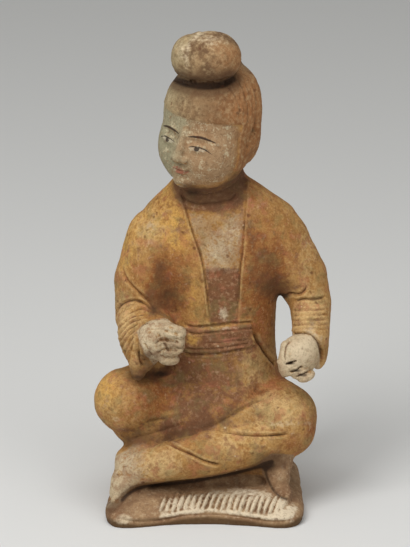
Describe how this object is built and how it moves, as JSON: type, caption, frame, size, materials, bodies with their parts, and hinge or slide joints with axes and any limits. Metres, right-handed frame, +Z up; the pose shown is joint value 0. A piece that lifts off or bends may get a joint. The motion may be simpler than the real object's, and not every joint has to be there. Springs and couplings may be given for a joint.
{
  "type": "seated musician figure",
  "caption": "Earthenware figure of a seated musician with a turned head and a high topknot, legs crossed on a small fringed mat.",
  "frame": {"origin": "middle of the bounding box at the underside of the mat", "axes": "+Z up, the figure's body faces -Y, +X is the figure's left and the viewer's right"},
  "size_m": [0.1058, 0.0846, 0.219],
  "materials": {
    "painted_terracotta": "unglazed low-fired clay with worn ochre and orange pigment, chalky white slip on hands, face and shirt front, dusty"
  },
  "bodies": {
    "root": {"musician_figure": "painted_terracotta"}
  },
  "joints": []
}
